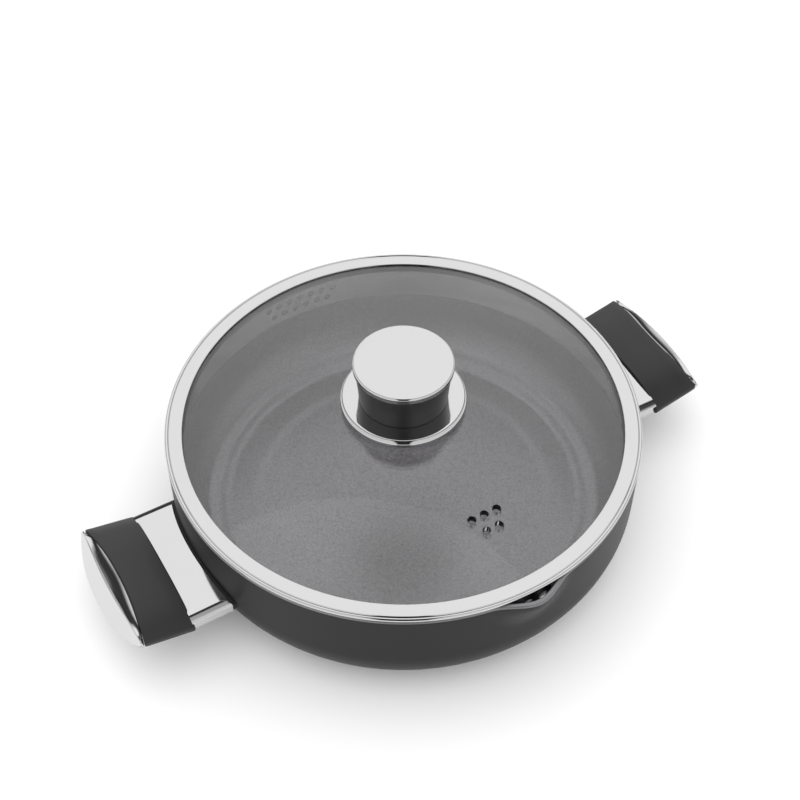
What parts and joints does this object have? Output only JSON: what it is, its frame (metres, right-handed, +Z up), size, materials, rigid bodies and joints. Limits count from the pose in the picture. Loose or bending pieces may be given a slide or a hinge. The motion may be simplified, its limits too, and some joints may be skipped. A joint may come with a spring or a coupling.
{
  "type": "low casserole pan with glass strainer lid",
  "caption": "Low round coated pan with pouring lip, side handles with black grips, and a domed glass lid with perforated steel strainer skirt and tapered knob.",
  "frame": {"origin": "centre of the underside of the pan's base, on the surface it stands on", "axes": "+Z up, +X out along the right handle, -Y out through the pouring lip; lid closed"},
  "size_m": [0.382, 0.274, 0.1202],
  "materials": {
    "coated_aluminium": "grey speckled non-stick coating, satin",
    "base_steel": "finely turned",
    "polished_steel": "mirror polished",
    "screw_steel": "plain",
    "black_grip": "satin black, heat resistant",
    "core_plastic": "plain moulded",
    "clear_glass": "clear, tempered",
    "black_silicone": "matt",
    "insert_brass": "plain"
  },
  "bodies": {
    "pan": {"pan_body": "coated_aluminium", "induction_base": "base_steel", "handle_gasket_right": "black_silicone", "handle_neck_right": "polished_steel", "handle_core_right": "core_plastic", "handle_grip_right": "black_grip", "handle_end_cap_right": "polished_steel", "handle_screw_right": "screw_steel", "handle_washer_right": "screw_steel", "handle_gasket_left": "black_silicone", "handle_neck_left": "polished_steel", "handle_core_left": "core_plastic", "handle_grip_left": "black_grip", "handle_end_cap_left": "polished_steel", "handle_screw_left": "screw_steel", "handle_washer_left": "screw_steel"},
    "lid": {"lid_rim_band": "polished_steel", "lid_glass": "clear_glass", "lid_glass_seal": "black_silicone", "knob_foot": "polished_steel", "knob_body": "black_grip", "knob_cap": "polished_steel", "knob_insert": "insert_brass", "knob_screw": "screw_steel", "knob_washer": "screw_steel", "knob_gasket_upper": "black_silicone", "knob_gasket_lower": "black_silicone"}
  },
  "joints": [
    {"name": "lid_lift", "type": "slide", "parent": "pan", "child": "lid", "axis": [0, 0, 1], "range_m": [0, 0.15]}
  ]
}
